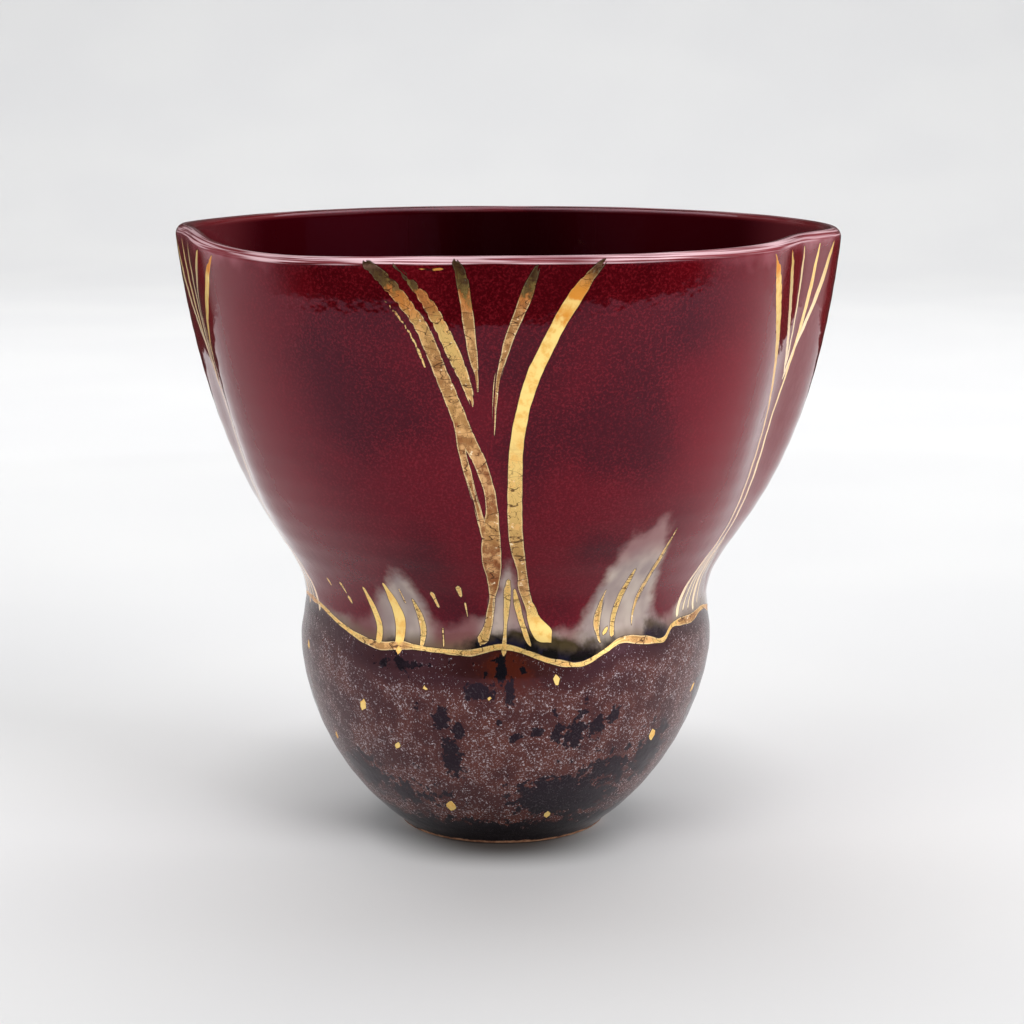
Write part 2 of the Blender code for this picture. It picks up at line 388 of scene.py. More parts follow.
def lip_point(angle):
    """A point of the half round lip, from the horizontal outwards."""
    middle = RIM_RADIUS - WALL / 2.0
    return middle + WALL / 2.0 * math.cos(angle), HEIGHT - WALL / 2.0 + WALL / 2.0 * math.sin(angle)


def flare(rings):
    """Outside from the neck to where the lip starts to round over, on one cubic curve."""
    start = (NECK_RADIUS, NECK_HEIGHT)
    end = lip_point(-math.atan(RIM_SLOPE))
    rise = end[1] - start[1]
    neck_pull = NECK_PULL * rise
    rim_pull = RIM_PULL * rise
    pulls = (
        start,
        (start[0] + NECK_SLOPE * neck_pull, start[1] + neck_pull),
        (end[0] - RIM_SLOPE * rim_pull, end[1] - rim_pull),
        end,
    )
    points = []
    for ring in range(rings + 1):
        share = ring / rings
        rest = 1.0 - share
        weights = (rest ** 3, 3.0 * rest * rest * share, 3.0 * rest * share * share, share ** 3)
        points.append(tuple(sum(w * pull[axis] for w, pull in zip(weights, pulls)) for axis in (0, 1)))
    return points


def lip():
    """Half round over the rim, from the outside to the inside."""
    start = -math.atan(RIM_SLOPE)
    return [lip_point(start + math.pi * ring / LIP_RINGS) for ring in range(1, LIP_RINGS)]


def inside_of(points):
    """The same curve moved in by the wall's thickness, square to it, listed from the top down."""
    moved = []
    for index, (radius, height) in enumerate(points):
        before = points[max(index - 1, 0)]
        after = points[min(index + 1, len(points) - 1)]
        run = after[0] - before[0]
        rise = after[1] - before[1]
        length = math.hypot(run, rise)
        moved.append((radius - WALL * rise / length, height + WALL * run / length))
    return moved[::-1]


def hollow():
    """Inside from the bulb's widest down to the middle of the floor."""
    points = []
    for ring in range(HOLLOW_RINGS):
        turn = ring / HOLLOW_RINGS * math.pi / 2.0
        height = BULB_HEIGHT - (BULB_HEIGHT - FLOOR_THICKNESS) * math.sin(turn)
        points.append((hollow_radius(height), height))
    points.append((0.0, FLOOR_THICKNESS))
    return points


def pressed(azimuth, radius, height):
    """Points of the turned body, moved by the creases, the low lobe and the lean."""
    up = np.clip((height - NECK_HEIGHT) / (HEIGHT - NECK_HEIGHT), 0.0, 1.0)
    strength = ease(-0.05, CREASE_FULL_SHARE, (height - NECK_HEIGHT) / (HEIGHT - NECK_HEIGHT))
    width = CREASE_WIDTH_NECK + (CREASE_WIDTH_RIM - CREASE_WIDTH_NECK) * up
    kept = 1.0
    lift = -LOW_LOBE_DROP * bell(turned_away(azimuth, LOW_LOBE_AZIMUTH), LOW_LOBE_WIDTH) * up ** 3
    for crease_azimuth, depth, rim_depth, rim_lift in CREASES:
        away = turned_away(azimuth, crease_azimuth)
        here = depth + (rim_depth - depth) * ease(0.5, 1.0, up)
        kept = kept - here * strength * bell(away, width)
        lift = lift + rim_lift * bell(away, CREASE_LIFT_WIDTH) * up ** 3
    angle = np.radians(azimuth)
    across = radius * kept * np.sin(angle) + LEAN * ease(0.0, NECK_HEIGHT, height)
    return np.stack([across, -radius * kept * np.cos(angle), height + lift], axis=1)


OUTSIDE = np.array(bulb() + shoulder(SHOULDER_RINGS) + flare(FLARE_RINGS) + lip()[: LIP_RINGS // 2])


def on_wall(azimuth, height):
    """Points of the bowl's outside at these azimuths and heights."""
    return pressed(azimuth, np.interp(height, OUTSIDE[:, 1], OUTSIDE[:, 0]), height)


def smooth_path(points):
    """A smooth curve through a few points, sampled finely."""
    given = np.array(points, float)
    ends = np.vstack([2.0 * given[0] - given[1], given, 2.0 * given[-1] - given[-2]])
    share = np.linspace(0.0, 1.0, PATH_SAMPLES, endpoint=False)[:, None]
    spans = []
    for before, start, end, after in zip(ends, ends[1:], ends[2:], ends[3:]):
        slope = (end - before) / 2.0
        end_slope = (after - start) / 2.0
        turn = 3.0 * (end - start) - 2.0 * slope - end_slope
        twist = slope + end_slope - 2.0 * (end - start)
        spans.append(start + slope * share + turn * share ** 2 + twist * share ** 3)
    return np.vstack(spans + [given[-1:]])


def seam_height(azimuth):
    """Height of the seam's middle line all round the bowl."""
    closed = ((SEAM[-1][0] - 360, SEAM[-1][1]),) + SEAM + ((SEAM[0][0] + 360, SEAM[0][1]),)
    path = smooth_path(closed)
    return np.interp(azimuth, path[:, 0], path[:, 1], period=360.0)


def maroon_edge(azimuth):
    """Height of the maroon glaze's lower edge, which draws back in tongues."""
    height = MAROON_EDGE + 0.0 * azimuth
    for centre, rise, width in MAROON_GAPS:
        height = height + rise * bell(turned_away(azimuth, centre), width)
    return height


def limb(trunk, tip, join, stout):
    """One limb of a side tree, from its tip to where it joins a strand of the trunk."""
    points = [(tip, LIMB_TIP, LIMB_TIP_WIDTH)]
    for out, up, width in LIMB_SHAPE:
        points.append((trunk + out * (tip - trunk), join + up * (LIMB_TIP - join), width * stout))
    points.append((trunk, join, LIMB_JOIN_WIDTH))
    return points


def strand_foot(crease, stand_off, foot_away, join):
    """The rest of a strand, down the crease and out to the seam."""
    return [
        (crease + stand_off, 0.5 * (join + TRUNK_FOOT), 0.75),
        (crease + 0.9 * stand_off, TRUNK_FOOT, 0.6),
        (crease + 0.55 * foot_away, 41.0, 0.7),
        (crease + 0.85 * foot_away, 37.4, 0.9),
        (crease + foot_away, 34.4, 0.7),
    ]


def thin_root(crease, foot_away, top_away):
    """A thin root between the strands' own."""
    return (
        (crease + top_away, 45.0, 0.15),
        (crease + 0.6 * foot_away, 40.0, 0.35),
        (crease + foot_away, 34.8, 0.3),
    )


def side_tree(crease, facing, limbs):
    """The strokes of one side tree, the first limb of each strand going on down to its root."""
    strokes = []
    led = set()
    root_tone = ROOT_TONE if crease in (RIGHT, LEFT) else BACK_ROOT_TONE
    for tip, join, strand, tone, stout in limbs:
        stand_off, foot_away = (facing * away for away in STRANDS[strand])
        points = limb(crease + stand_off, tip, join, stout)
        if strand not in led:
            points += strand_foot(crease, stand_off, foot_away, join)
            led.add(strand)
        strokes.append((np.linspace(tone, root_tone, len(points)), points))
    for foot_away, top_away in THIN_ROOTS:
        strokes.append((root_tone, thin_root(crease, facing * foot_away, facing * top_away)))
    return strokes


def grass(azimuth, lean, tops):
    """A tuft of blades standing on the seam."""
    blades = []
    for index, top in enumerate(tops):
        foot_azimuth = azimuth + BLADE_APART * index
        blades.append((
            (foot_azimuth + lean, top, 0.3),
            (foot_azimuth + 0.6 * lean, top - 2.6, 1.0),
            (foot_azimuth, BLADE_FOOT, 1.0),
        ))
    return blades


def dot(azimuth, height, size):
    """A drop of gold, a little longer than wide."""
    tilt = 2.0 * math.sin(7.0 * azimuth)
    return (
        (azimuth - 0.3 * tilt, height + 0.5 * size, 0.5 * size),
        (azimuth, height, size),
        (azimuth + 0.3 * tilt, height - 0.4 * size, 0.7 * size),
    )


def all_strokes():
    """Every stroke of gold as its tone, 0 for tan and cracked to 1 for bright and past 1 a cream painted
    sheen, and its points.
    """
    strokes = list(FRONT_TREE + FRONT_GRASS)
    for crease, (facing, limbs) in SIDE_TREES.items():
        strokes += side_tree(crease, facing, limbs)
    for tuft in TUFTS:
        strokes += [(0.8, blade) for blade in grass(*tuft)]
    strokes += [(0.9, dot(*shape)) for shape in DOTS]
    for azimuth, height, end_azimuth, end_height, width in FLECKS:
        strokes.append((0.6, ((azimuth, height, width), (end_azimuth, end_height, 0.5 * width))))
    return strokes


def brushed(tone, points, skin, azimuth, height):
    """Distance across a stroke, its half width and its tone, for the vertices near it."""
    path = smooth_path(np.column_stack([np.array(points, float), tone + np.zeros(len(points))]))
    middle = on_wall(path[:, 0], path[:, 1])
    run = unit(np.gradient(middle, axis=0))
    step = 0.2
    sideways = on_wall(path[:, 0] + step, path[:, 1]) - on_wall(path[:, 0] - step, path[:, 1])
    upwards = on_wall(path[:, 0], path[:, 1] + step) - on_wall(path[:, 0], path[:, 1] - step)
    across_run = unit(np.cross(run, np.cross(sideways, upwards)))

    centre = 0.5 * (path[:, 0].min() + path[:, 0].max())
    reach = 0.5 * (path[:, 0].max() - path[:, 0].min()) + STROKE_REACH
    near = np.abs(turned_away(azimuth, centre)) < reach
    near &= height > path[:, 1].min() - STROKE_REACH_UP
    near &= height < path[:, 1].max() + STROKE_REACH_UP
    near = np.nonzero(near)[0]

    offsets = skin[near][:, None, :] - middle[None, :, :]
    nearest = np.argmin((offsets ** 2).sum(axis=2), axis=1)
    offset = offsets[np.arange(len(near)), nearest]
    across = (offset * across_run[nearest]).sum(axis=1)
    along = (offset * run[nearest]).sum(axis=1)
    past = np.where(nearest == 0, -along, 0.0) + np.where(nearest == len(path) - 1, along, 0.0)
    half = np.maximum(path[nearest, 2], STROKE_LEAST_WIDTH) / 2.0 - np.maximum(past, 0.0)
    return near, across, half, path[nearest, 3]


def gold_layers(skin, azimuth, height):
    """The strokes sorted into layers, so that strokes in one layer keep clear of each other."""
    layers = []
    for tone, points in all_strokes():
        near, across, half, shade = brushed(np.array(tone), points, skin, azimuth, height)
        margin = half - np.abs(across)
        for layer in layers:
            if not np.any((margin > -STROKE_APART) & (layer["margin"][near] > -STROKE_APART)):
                break
        else:
            layer = {"margin": np.full(len(skin), FAR_HALF), "values": np.zeros((len(skin), 3))}
            layer["values"][:] = (FAR_ACROSS, FAR_HALF, 0.5)
            layers.append(layer)
        nearer = margin > layer["margin"][near]
        kept = near[nearer]
        faded = half - STROKE_FALL * np.maximum(-margin - STROKE_KEPT, 0.0)
        layer["margin"][kept] = margin[nearer]
        layer["values"][kept] = np.stack([across, faded, shade], axis=1)[nearer]
    return [layer["values"] for layer in layers]


def waves(azimuth, height, seed):
    """Slow seeded unevenness of about one, as a hand leaves it."""
    random = np.random.RandomState(seed)
    total = 0.0 * height
    for turns in HAND_WAVE_TURNS:
        tilt = random.uniform(*HAND_WAVE_TILTS)
        phase = random.uniform(0.0, math.tau)
        total = total + np.sin(turns * np.radians(azimuth) + tilt * height + phase) / turns
    return total


def patches_and_foot_shade_darkness(azimuth, height):
    """How black the bulb's glaze is, from 0 to about 1, with the darkening towards the foot partly painted
    shade.
    """
    random = np.random.RandomState(BACK_PATCH_SEED)
    patches = list(PATCHES)
    for _ in range(BACK_PATCHES):
        centre = random.uniform(*BACK_PATCH_AZIMUTHS)
        middle = random.uniform(*BACK_PATCH_HEIGHTS)
        width = random.uniform(*BACK_PATCH_HALF_WIDTHS)
        tall = random.uniform(*BACK_PATCH_HALF_HEIGHTS)
        patches.append((centre, middle, width, tall, BACK_PATCH_STRENGTH))
    # Darker towards the foot: partly dark glaze, partly painted shade
    dark = ease(FOOT_SHADE_TOP, FOOT_SHADE_FULL, height)
    for centre, middle, width, tall, strength in patches:
        hump = strength * bell(turned_away(azimuth, centre), width) * bell(height - middle, tall)
        dark = np.maximum(dark, hump)
    return dark


def spun_body():
    """The whole vessel turned from its section, with the side of the wall kept on each vertex."""
    foot_points = foot()
    bulb_points = bulb()
    above_bulb = shoulder(SHOULDER_RINGS) + flare(FLARE_RINGS)
    inner = inside_of(shoulder(INSIDE_SHOULDER_RINGS) + flare(INSIDE_FLARE_RINGS))
    outside = foot_points + bulb_points + above_bulb
    lip_points = lip()
    inside = inner + hollow()
    section = outside + lip_points + inside
    sides = [max((height - lip_points[0][1]) / LIP_PAINTED_SHEEN_DEPTH, -1.0) for radius, height in outside]
    sides += [(index + 1.0) / LIP_RINGS for index in range(len(lip_points))]
    sides += [1.0] * len(inside)

    body = bmesh.new()
    side_layer = body.verts.layers.float.new("side")
    ring = []
    for (radius, height), side in zip(section, sides):
        vertex = body.verts.new((radius * MM, 0.0, height * MM))
        vertex[side_layer] = side
        ring.append(vertex)
    edges = [body.edges.new(pair) for pair in zip(ring, ring[1:])]
    bmesh.ops.spin(
        body,
        geom=ring + edges,
        cent=(0.0, 0.0, 0.0),
        axis=(0.0, 0.0, 1.0),
        angle=math.tau,
        steps=SPIN_STEPS,
        use_merge=True,
    )
    bmesh.ops.remove_doubles(body, verts=body.verts, dist=1e-6)
    bmesh.ops.recalc_face_normals(body, faces=body.faces)
    mesh = bpy.data.meshes.new("bowl_body")
    body.to_mesh(mesh)
    body.free()
    mesh.shade_smooth()
    return mesh


def read_vectors(mesh, what):
    """A vector of each vertex of a mesh, as an array of rows."""
    values = np.zeros(len(mesh.vertices) * 3)
    mesh.vertices.foreach_get(what, values)
    return values.reshape(-1, 3)


def add_vectors(mesh, name, values):
    """Keeps a row of three numbers on each vertex, for the material to read."""
    layer = mesh.attributes.new(name, "FLOAT_VECTOR", "POINT")
    layer.data.foreach_set("vector", values.ravel())


def strongest(azimuth, places):
    """The strongest of several humps round the bowl, each an azimuth, a half width and a strength."""
    most = 0.0 * azimuth
    for centre, width, strength in places:
        most = np.maximum(most, strength * bell(turned_away(azimuth, centre), width))
    return most


def past_maroon_edge(azimuth, radius, height):
    """Distance from the maroon glaze's lower edge, square to the edge, positive on the maroon."""
    step = 0.5
    run = np.radians(2.0 * step) * np.maximum(radius, 1.0)
    steepness = (maroon_edge(azimuth + step) - maroon_edge(azimuth - step)) / run
    return (height - maroon_edge(azimuth)) / np.sqrt(1.0 + steepness ** 2)


def relief(azimuth, height, above, red, outside):
    """How far the glazed face stands off the solid's own, which it never passes."""
    raised = -GLAZE_INSET + CUP_GLAZE_ROLL * ease(CUP_ROLL_START, CUP_ROLL_END, above) * outside
    raised += MAROON_ROLL * ease(MAROON_ROLL_START, MAROON_ROLL_END, red) * outside
    ring = math.tau * height / THROWING_RING_PITCH + THROWING_RING_CLIMB * azimuth
    raised += THROWING_RING_DEPTH * np.sin(ring)
    raised += HAND_WAVE * waves(azimuth, height, HAND_WAVE_SEED)
    return raised * ease(0.0, RELIEF_FOOT, height)


def dark_glass(azimuth, above):
    """The pools above the seam, and below it how strongly the bulb's glaze is burnt."""
    pool = 0.0 * above
    for centre, width, tall, strength in POOLS:
        hump = strength * bell(turned_away(azimuth, centre), width) * bell(above - POOL_MIDDLE, tall)
        pool = np.maximum(pool, hump)
    return np.where(above < 0.0, bell(turned_away(azimuth, BURN_AZIMUTH), BURN_WIDTH), pool)


def blush(azimuth, above):
    """Mauve above the seam, and the rusty bloom below it."""
    rust = bell(turned_away(azimuth, RUST_AZIMUTH), RUST_WIDTH) * bell(above + RUST_BELOW, RUST_TALL)
    return np.where(above < 0.0, rust, strongest(azimuth, MAUVES))


def bowl_body():
    """The glazed and painted bowl in one piece."""
    mesh = spun_body()
    turned = read_vectors(mesh, "co") / MM
    side = np.zeros(len(mesh.vertices))
    mesh.attributes["side"].data.foreach_get("value", side)
    azimuth = np.degrees(np.arctan2(turned[:, 0], -turned[:, 1]))
    radius = np.hypot(turned[:, 0], turned[:, 1])
    height = turned[:, 2]
    skin = pressed(azimuth, radius, height)
    mesh.vertices.foreach_set("co", (skin * MM).ravel())
    mesh.update()

    outside = side < 0.5
    above = height - seam_height(azimuth)
    red = past_maroon_edge(azimuth, radius, height)
    skin = skin + read_vectors(mesh, "normal") * relief(azimuth, height, above, red, outside)[:, None]
    mesh.vertices.foreach_set("co", (skin * MM).ravel())

    zones = np.column_stack([
        np.where(outside, np.clip(above, -FAR_FROM_SEAM, FAR_FROM_SEAM), FAR_FROM_SEAM),
        np.where(outside, np.clip(red, -FAR_FROM_SEAM, FAR_FROM_SEAM), FAR_FROM_SEAM),
        np.where(outside, dark_glass(azimuth, above), 0.0),
    ])
    add_vectors(mesh, "zones", zones)
    marks = np.column_stack([side, patches_and_foot_shade_darkness(azimuth, height), blush(azimuth, above)])
    add_vectors(mesh, "marks", marks)
    layers = gold_layers(skin, azimuth, np.where(outside, height, INSIDE_HEIGHT))
    for index, values in enumerate(layers):
        add_vectors(mesh, gold_name(index), values)

    mesh.update()
    piece = bpy.data.objects.new("bowl_body", mesh)
    bpy.context.scene.collection.objects.link(piece)
    mesh.materials.append(glazed_and_gilded(len(layers)))
    return piece


def gold_name(index):
    """Name of a layer of gold strokes."""
    return f"gold_{index + 1}"


class Recipe:
    """One material's nodes, with short calls for the usual ones. Lengths are in millimetres."""

    def __init__(self, name):
        self.material = bpy.data.materials.new(name)
        self.material.use_nodes = True
        self.tree = self.material.node_tree
        self.shader = self.tree.nodes["Principled BSDF"]
        coordinates = self.add("ShaderNodeTexCoord").outputs["Object"]
        self.place = self.stretched(coordinates, (1.0 / MM,) * 3)

    def add(self, kind, **settings):
        node = self.tree.nodes.new(kind)
        for name, value in settings.items():
            setattr(node, name, value)
        return node

    def put(self, socket, value):
        """Links an output to a socket, or sets the socket to a number or a colour."""
        if isinstance(value, bpy.types.NodeSocket):
            self.tree.links.new(value, socket)
        elif isinstance(value, tuple) and len(value) < len(socket.default_value):
            socket.default_value = (*value, 1.0)
        else:
            socket.default_value = value

    def stretched(self, vector, scale):
        node = self.add("ShaderNodeMapping")
        self.put(node.inputs["Vector"], vector)
        self.put(node.inputs["Scale"], scale)
        return node.outputs["Vector"]

    def kept(self, name):
        """The three numbers of a vertex attribute."""
        node = self.add("ShaderNodeAttribute", attribute_name=name)
        split = self.add("ShaderNodeSeparateXYZ")
        self.put(split.inputs[0], node.outputs["Vector"])
        return split.outputs

    def math(self, operation, first, second=0.0):
        node = self.add("ShaderNodeMath", operation=operation)
        self.put(node.inputs[0], first)
        self.put(node.inputs[1], second)
        return node.outputs[0]

    def swing(self, noise, reach):
        """A noise made to swing about zero, by half the reach each way."""
        return self.math("MULTIPLY", self.math("SUBTRACT", noise, 0.5), reach)

    def rise(self, value, start, end, low=0.0, high=1.0):
        """Runs smoothly from low to high as the value goes from start to end."""
        node = self.add("ShaderNodeMapRange", interpolation_type="SMOOTHSTEP")
        for index, number in enumerate((value, start, end, low, high)):
            self.put(node.inputs[index], number)
        return node.outputs[0]

    def blend(self, share, first, second):
        """One colour into another."""
        node = self.add("ShaderNodeMix", data_type="RGBA")
        self.put(node.inputs["Factor"], share)
        self.put(node.inputs[6], first)
        self.put(node.inputs[7], second)
        return node.outputs[2]

    def between(self, share, first, second):
        """One number into another."""
        node = self.add("ShaderNodeMix", data_type="FLOAT")
        self.put(node.inputs[0], share)
        self.put(node.inputs[2], first)
        self.put(node.inputs[3], second)
        return node.outputs[0]

    def noise(self, scale, detail=2.0, roughness=0.5, vector=None):
        node = self.add("ShaderNodeTexNoise")
        self.put(node.inputs["Vector"], vector or self.place)
        self.put(node.inputs["Scale"], scale)
        self.put(node.inputs["Detail"], detail)
        self.put(node.inputs["Roughness"], roughness)
        return node.outputs["Fac"]

    def stripes(self, across, along_scale):
        """Thin uneven stripes: one number across them, and a slow change along them."""
        slow = self.stretched(self.place, (along_scale,) * 3)
        shift = self.add("ShaderNodeVectorMath", operation="ADD")
        self.put(shift.inputs[0], slow)
        self.put(shift.inputs[1], across)
        return self.noise(1.0, 1.0, vector=shift.outputs[0])

    def vein(self, value, width):
        """A thin winding line, where a noise crosses its middle."""
        return self.rise(self.math("ABSOLUTE", self.math("SUBTRACT", value, 0.5)), width, 0.3 * width)

    def distance(self, vector, point):
        node = self.add("ShaderNodeVectorMath", operation="DISTANCE")
        self.put(node.inputs[0], vector)
        self.put(node.inputs[1], point)
        return node.outputs["Value"]

    def bump(self, height):
        """A bump from a height in millimetres."""
        node = self.add("ShaderNodeBump")
        node.inputs["Distance"].default_value = MM
        self.put(node.inputs["Height"], height)
        return node.outputs["Normal"]


# Maroon glaze: thick, full, paler as a painted side sheen, and mottled; inside, darkened as painted shade; a
# painted sheen under the lip; and worn pink threads on the lip with a painted highlight
MAROON_THICK = (0.036, 0.0006, 0.0018)
MAROON_FULL = (0.072, 0.0014, 0.0034)
# Paler maroon of the painted sheen on the sides
MAROON_PAINTED_SIDE_SHEEN = (0.135, 0.0080, 0.0110)
MAROON_MOTTLE = (0.130, 0.0060, 0.0100)
# Inside, the maroon is darkened as painted shade, darkest in the middle, with painted light on the left and
# right inner walls
WELL_PAINTED_SHADE_MIDDLE = (0.009, 0.0001, 0.0006)
WELL_PAINTED_SHADE_SIDE = (0.027, 0.0001, 0.0016)
WELL_PAINTED_LIGHT_EDGE = (0.090, 0.011, 0.015)
# Pale painted sheen under the lip towards the sides
LIP_PAINTED_SHEEN = (0.30, 0.090, 0.110)
LIP_ROSE = (0.22, 0.045, 0.055)
# Pale pink of the glaze worn thin on the lip, lightened as a painted highlight
LIP_PINK_AND_HIGHLIGHT = (0.78, 0.52, 0.56)

# The maroon gets paler down the cup between these heights; the painted side sheen comes in lower down and out
# to the sides, and the well's painted shade and light and the painted sheen under the lip change, between
# these distances from the middle
PALER_HEIGHTS = (68.0, 42.0)
PAINTED_SIDE_SHEEN_HEIGHTS = (80.0, 60.0)
PAINTED_SIDE_SHEEN_SIDES = (24.0, 38.0)
WELL_SIDES = (4.0, 24.0)
WELL_EDGE_SIDES = (36.0, 44.0)
LIP_PAINTED_SHEEN_SIDES = (24.0, 37.0)

# Milky glaze: two greys, mauve, thin at the tips and clear near the seam, and the dark glass there
MILK_GREY = (0.235, 0.185, 0.172)
MILK_WARM = (0.385, 0.325, 0.275)
MILK_MAUVE = (0.150, 0.062, 0.060)
MILK_THIN = (0.190, 0.085, 0.085)
MILK_CLEAR = (0.120, 0.082, 0.048)
GLASS_OLIVE_DARK = (0.026, 0.018, 0.006)
GLASS_OLIVE = (0.050, 0.036, 0.017)
GLASS_BLACK = (0.0055, 0.0050, 0.0048)
GLASS_BLUE = (0.0070, 0.0066, 0.0150)

# Heights above the seam where the milk thins out at its tips and clears, and the glass blackens
THIN_ABOVE = (11.0, 15.5)
CLEAR_ABOVE = (3.6, 1.5)
BLACK_ABOVE = (5.2, 3.0)

# Bulb glaze and bare clay
BROWN_DARK = (0.039, 0.0130, 0.0108)
BROWN_LIGHT = (0.074, 0.0245, 0.0172)
BROWN_BURNT = (0.018, 0.0034, 0.0030)
RUST_RED = (0.050, 0.0080, 0.0024)
PATCH_AND_FOOT_SHADE_BLACK = (0.0040, 0.0038, 0.0052)
CRYSTAL_DULL = (0.100, 0.066, 0.065)
CRYSTAL_PALE = (0.44, 0.40, 0.42)
CLAY_DARK = (0.12, 0.052, 0.026)
CLAY_LIGHT = (0.28, 0.150, 0.082)


def maroon_body(kit, height_up, beside, drift):
    """The glaze's colour, paler down the cup and mottled, with a painted sheen towards the left and right
    sides.
    """
    thinner = kit.math("ADD", drift, kit.rise(height_up, *PALER_HEIGHTS, -0.08, 0.12))
    colour = kit.blend(kit.rise(thinner, 0.35, 0.65), MAROON_THICK, MAROON_FULL)
    # Paler out to the left and right sides, and lower down them: a painted sheen
    painted_side_sheen = kit.math("ADD", beside, kit.rise(height_up, *PAINTED_SIDE_SHEEN_HEIGHTS, 0.0, 6.0))
    colour = kit.blend(kit.rise(painted_side_sheen, *PAINTED_SIDE_SHEEN_SIDES, 0.0, 0.8), colour, MAROON_PAINTED_SIDE_SHEEN)
    fine = kit.noise(3.0, 2.0, 0.65)
    mottled = kit.math("MULTIPLY", kit.rise(fine, 0.42, 0.74), kit.rise(drift, 0.25, 0.60, 0.35, 0.8))
    return kit.blend(mottled, colour, MAROON_MOTTLE)


def maroon_glaze(kit, side, height_up, sideways):
    """Deep maroon with fine lighter mottling, darker inside as painted shade, a painted sheen under the lip,
    and pink threads on the lip, worn glaze with a painted highlight.
    """
    drift = kit.noise(0.07, 1.0)
    beside = kit.math("ABSOLUTE", sideways)
    colour = maroon_body(kit, height_up, beside, drift)
    # Inside: painted shade, darkest in the middle and lighter out to the sides, with painted light on the
    # left and right inner walls
    painted_shade_well = kit.blend(kit.rise(beside, *WELL_SIDES), WELL_PAINTED_SHADE_MIDDLE, WELL_PAINTED_SHADE_SIDE)
    painted_shade_well = kit.blend(kit.rise(beside, *WELL_EDGE_SIDES), painted_shade_well, WELL_PAINTED_LIGHT_EDGE)
    colour = kit.blend(kit.rise(side, 0.75, 0.95), colour, painted_shade_well)

    # A painted sheen under the lip towards the sides, as a reflection of pale surroundings
    lip_painted_sheen = kit.math("ADD", side, kit.swing(kit.noise(0.22, 2.0, 0.6), 1.6))
    lip_painted_sheen = kit.math("MULTIPLY", kit.rise(lip_painted_sheen, -0.50, 0.45), kit.rise(side, 0.30, 0.15, 0.0, 0.60))
    lip_painted_sheen = kit.math("MULTIPLY", lip_painted_sheen, kit.rise(beside, *LIP_PAINTED_SHEEN_SIDES))
    colour = kit.blend(lip_painted_sheen, colour, LIP_PAINTED_SHEEN)

    # Pink threads on the lip: glaze worn thin, with a painted highlight over it
    threads = kit.stripes(kit.math("MULTIPLY", side, LIP_THREADS), 0.10)
    pink_and_highlight = kit.blend(kit.rise(threads, 0.38, 0.62), LIP_ROSE, LIP_PINK_AND_HIGHLIGHT)
    outer = kit.rise(kit.math("ADD", side, kit.math("MULTIPLY", threads, 0.10)), 0.15, 0.22)
    worn_and_highlight = kit.math("MULTIPLY", outer, kit.rise(side, 0.62, 0.47, 0.10, 1.0))
    worn_and_highlight = kit.math("MULTIPLY", worn_and_highlight, kit.rise(side, 0.92, 0.74))
    worn_and_highlight = kit.math("MULTIPLY", worn_and_highlight, kit.rise(drift, 0.30, 0.62, 0.60, 0.95))
    return kit.blend(worn_and_highlight, colour, pink_and_highlight)


def milky_glaze(kit, above, bloom):
    """Warm greyish white, clouded, mauve in places and olive towards the seam."""
    cloud = kit.noise(0.30, 2.0, vector=kit.stretched(kit.place, (1.0, 1.0, 0.5)))
    colour = kit.blend(kit.rise(cloud, 0.3, 0.7), MILK_GREY, MILK_WARM)
    mauve = kit.math("ADD", bloom, kit.swing(cloud, 0.6))
    colour = kit.blend(kit.rise(mauve, 0.10, 0.75), colour, MILK_MAUVE)
    colour = kit.blend(kit.rise(above, *THIN_ABOVE, 0.0, 0.85), colour, MILK_THIN)
    clear = kit.rise(kit.math("ADD", above, kit.math("MULTIPLY", cloud, 2.4)), *CLEAR_ABOVE)
    return kit.blend(kit.math("MULTIPLY", clear, 0.8), colour, MILK_CLEAR)


def dark_pool(kit, above, swirl):
    """Olive glass that turns nearly black, with a blue cast, at the seam."""
    depth = kit.rise(kit.math("ADD", above, kit.math("MULTIPLY", swirl, 4.0)), *BLACK_ABOVE)
    olive = kit.blend(kit.rise(swirl, 0.35, 0.65), GLASS_OLIVE_DARK, GLASS_OLIVE)
    return kit.blend(depth, olive, kit.blend(kit.rise(swirl, 0.50, 0.62), GLASS_BLACK, GLASS_BLUE))


def bulb_crystals(kit, drift, ragged, burnt, bare):
    """The crust of tiny pale crystals: how much shows at a place, and its colour."""
    grain = kit.noise(CRYSTALS_PER_MM, 2.0, 0.85)
    crowd = kit.math("ADD", kit.rise(drift, 0.36, 0.62, 0.0, 0.7), kit.rise(ragged, 0.42, 0.60, 0.0, 0.9))
    crowd = kit.math("SUBTRACT", crowd, burnt)
    crystal = kit.rise(kit.math("ADD", grain, kit.math("MULTIPLY", crowd, 0.095)), 0.630, 0.725)
    crystal = kit.math("MULTIPLY", crystal, bare)
    return crystal, kit.blend(kit.rise(grain, 0.54, 0.68), CRYSTAL_DULL, CRYSTAL_PALE)


